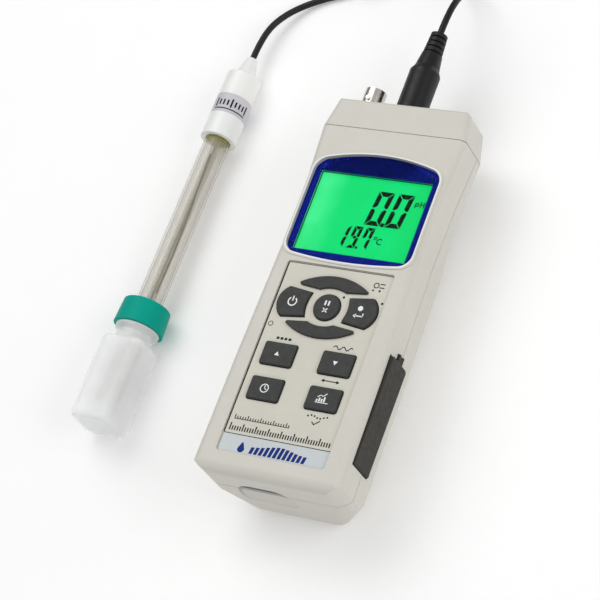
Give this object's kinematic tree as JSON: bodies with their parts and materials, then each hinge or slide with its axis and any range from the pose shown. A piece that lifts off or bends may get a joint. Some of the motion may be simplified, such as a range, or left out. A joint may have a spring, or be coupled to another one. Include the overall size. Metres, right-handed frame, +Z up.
{
  "type": "ph meter",
  "caption": "Hand-held pH meter with a lit display, keypad, tilt stand and covered side ports, with its pH electrode parked in a screw-top storage bottle on a coiled lead.",
  "frame": {"origin": "under the middle of the case, on the plane that its back rests on", "axes": "+Z up out of the display, +Y towards the head with the sockets, +X towards the side with the covered ports"},
  "size_m": [0.1517, 0.3033, 0.0454],
  "materials": {
    "case_plastic": "fine spark texture",
    "clear_window": "polished clear acrylic",
    "border_ink": "printed behind the window",
    "lcd": "liquid crystal glass, back lit",
    "backlight": "diffusing light guide",
    "frame_metal": "bent sheet metal",
    "board_rubber": "moulded silicone",
    "keypad_film": "satin printed film",
    "label_film": "silver printed film",
    "key_rubber": "matt silicone",
    "circuit_board": "solder resist",
    "black_plastic": "moulded",
    "cover_rubber": "matt moulded rubber",
    "card_plastic": "moulded",
    "cell_can": "printed sleeve",
    "spring_metal": "nickel plated",
    "pin_steel": "zinc plated",
    "bright_plating": "nickel plated",
    "white_insulator": "turned",
    "contact_gold": "gold plated",
    "plug_plastic": "moulded",
    "frosted_bottle": "frosted polyethylene",
    "solution": "clear liquid",
    "teal_plastic": "moulded",
    "seal_rubber": "moulded",
    "tube_plastic": "clear polycarbonate",
    "stem_glass": "drawn glass",
    "bulb_glass": "thin blown glass",
    "silver_wire": "drawn",
    "white_plastic": "moulded",
    "band_film": "printed label",
    "lead_jacket": "satin jacket"
  },
  "bodies": {
    "meter": {"backlight": "backlight", "battery_cells": "cell_can", "battery_contacts": "spring_metal", "battery_tray": "black_plastic", "beeper": "black_plastic", "bnc_insulator": "white_insulator", "bnc_nut": "bright_plating", "bnc_pin": "contact_gold", "bnc_shell": "bright_plating", "card_socket": "frame_metal", "case_screws": "pin_steel", "dc_jack": "black_plastic", "din_socket": "black_plastic", "display_window": "clear_window", "front_shell": "case_plastic", "head_cap": "case_plastic", "keymat": "board_rubber", "keypad_panel": "keypad_film", "label_strip": "label_film", "lcd_frame": "frame_metal", "lcd_glass": "lcd", "lower_pad": "key_rubber", "main_board": "circuit_board", "rear_shell": "case_plastic", "reset_switch": "black_plastic", "serial_jack": "black_plastic", "stand_pin": "pin_steel", "temperature_jack": "black_plastic", "upper_pad": "key_rubber", "window_border": "border_ink", "zebra_strips": "board_rubber"},
    "power_key": {"power_key": "key_rubber"},
    "hold_key": {"hold_key": "key_rubber"},
    "record_key": {"record_key": "key_rubber"},
    "up_key": {"up_key": "key_rubber"},
    "down_key": {"down_key": "key_rubber"},
    "time_key": {"time_key": "key_rubber"},
    "set_key": {"set_key": "key_rubber"},
    "reset_button": {"reset_button": "black_plastic"},
    "stand": {"stand": "case_plastic"},
    "battery_cover": {"battery_cover": "case_plastic"},
    "port_cover": {"port_cover": "cover_rubber"},
    "memory_card": {"memory_card": "card_plastic"},
    "bottle_cap": {"bottle_cap": "teal_plastic"},
    "bottle_seal": {"bottle_seal": "seal_rubber"},
    "probe": {"din_plug_body": "plug_plastic", "din_plug_shell": "bright_plating", "din_plug_pins": "contact_gold", "din_strain_relief": "lead_jacket", "plug_lead": "lead_jacket", "lead_coil": "lead_jacket", "electrode_lead": "lead_jacket", "electrode_tube": "tube_plastic", "electrode_stem": "stem_glass", "glass_bulb": "bulb_glass", "silver_wire": "silver_wire", "electrode_head": "white_plastic", "label_band": "band_film"},
    "bottle": {"bottle": "frosted_bottle", "storage_solution": "solution"}
  },
  "joints": [
    {"name": "power_key_press", "type": "slide", "parent": "meter", "child": "power_key", "axis": [0, 0, -1], "range_m": [0, 0.0008], "stiffness_N_per_m": 300},
    {"name": "hold_key_press", "type": "slide", "parent": "meter", "child": "hold_key", "axis": [0, 0, -1], "range_m": [0, 0.0008], "stiffness_N_per_m": 300},
    {"name": "record_key_press", "type": "slide", "parent": "meter", "child": "record_key", "axis": [0, 0, -1], "range_m": [0, 0.0008], "stiffness_N_per_m": 300},
    {"name": "up_key_press", "type": "slide", "parent": "meter", "child": "up_key", "axis": [0, 0, -1], "range_m": [0, 0.0008], "stiffness_N_per_m": 300},
    {"name": "down_key_press", "type": "slide", "parent": "meter", "child": "down_key", "axis": [0, 0, -1], "range_m": [0, 0.0008], "stiffness_N_per_m": 300},
    {"name": "time_key_press", "type": "slide", "parent": "meter", "child": "time_key", "axis": [0, 0, -1], "range_m": [0, 0.0008], "stiffness_N_per_m": 300},
    {"name": "set_key_press", "type": "slide", "parent": "meter", "child": "set_key", "axis": [0, 0, -1], "range_m": [0, 0.0008], "stiffness_N_per_m": 300},
    {"name": "reset_press", "type": "slide", "parent": "meter", "child": "reset_button", "axis": [-1, 0, 0], "range_m": [0, 0.0006], "stiffness_N_per_m": 300},
    {"name": "stand_hinge", "type": "hinge", "parent": "meter", "child": "stand", "pos_m": [0, 0.0492, 0.01038], "axis": [1, 0, 0], "range_deg": [0, 70]},
    {"name": "battery_cover_lift", "type": "slide", "parent": "meter", "child": "battery_cover", "axis": [0, 0, -1], "range_m": [0, 0.02]},
    {"name": "port_cover_hinge", "type": "hinge", "parent": "meter", "child": "port_cover", "pos_m": [0.03355, -0.0715, 0.0326], "axis": [0, 0, -1], "range_deg": [0, 90]},
    {"name": "card_slide", "type": "slide", "parent": "meter", "child": "memory_card", "axis": [0, -1, 0], "range_m": [0, 0.026]},
    {"name": "plug_pull", "type": "slide", "parent": "meter", "child": "probe", "axis": [0, 1, 0], "range_m": [0, 0.016]},
    {"name": "bottle_cap_slide", "type": "slide", "parent": "probe", "child": "bottle_cap", "axis": [0, -0.9997, 0.0249], "range_m": [0, 0.055]},
    {"name": "bottle_advance", "type": "slide", "parent": "bottle_cap", "child": "bottle_seal", "axis": [0, -0.9997, 0.0249], "range_m": [0, 0.0085]},
    {"name": "bottle_turn", "type": "hinge", "parent": "bottle_seal", "child": "bottle", "pos_m": [-0.1053, -0.0687, 0.0127], "axis": [0, -0.9997, 0.0249], "range_deg": [0, 900]}
  ],
  "couplings": [
    {"joint": "bottle_advance", "follows": "bottle_turn", "m_per_rad": 0.00054113}
  ]
}
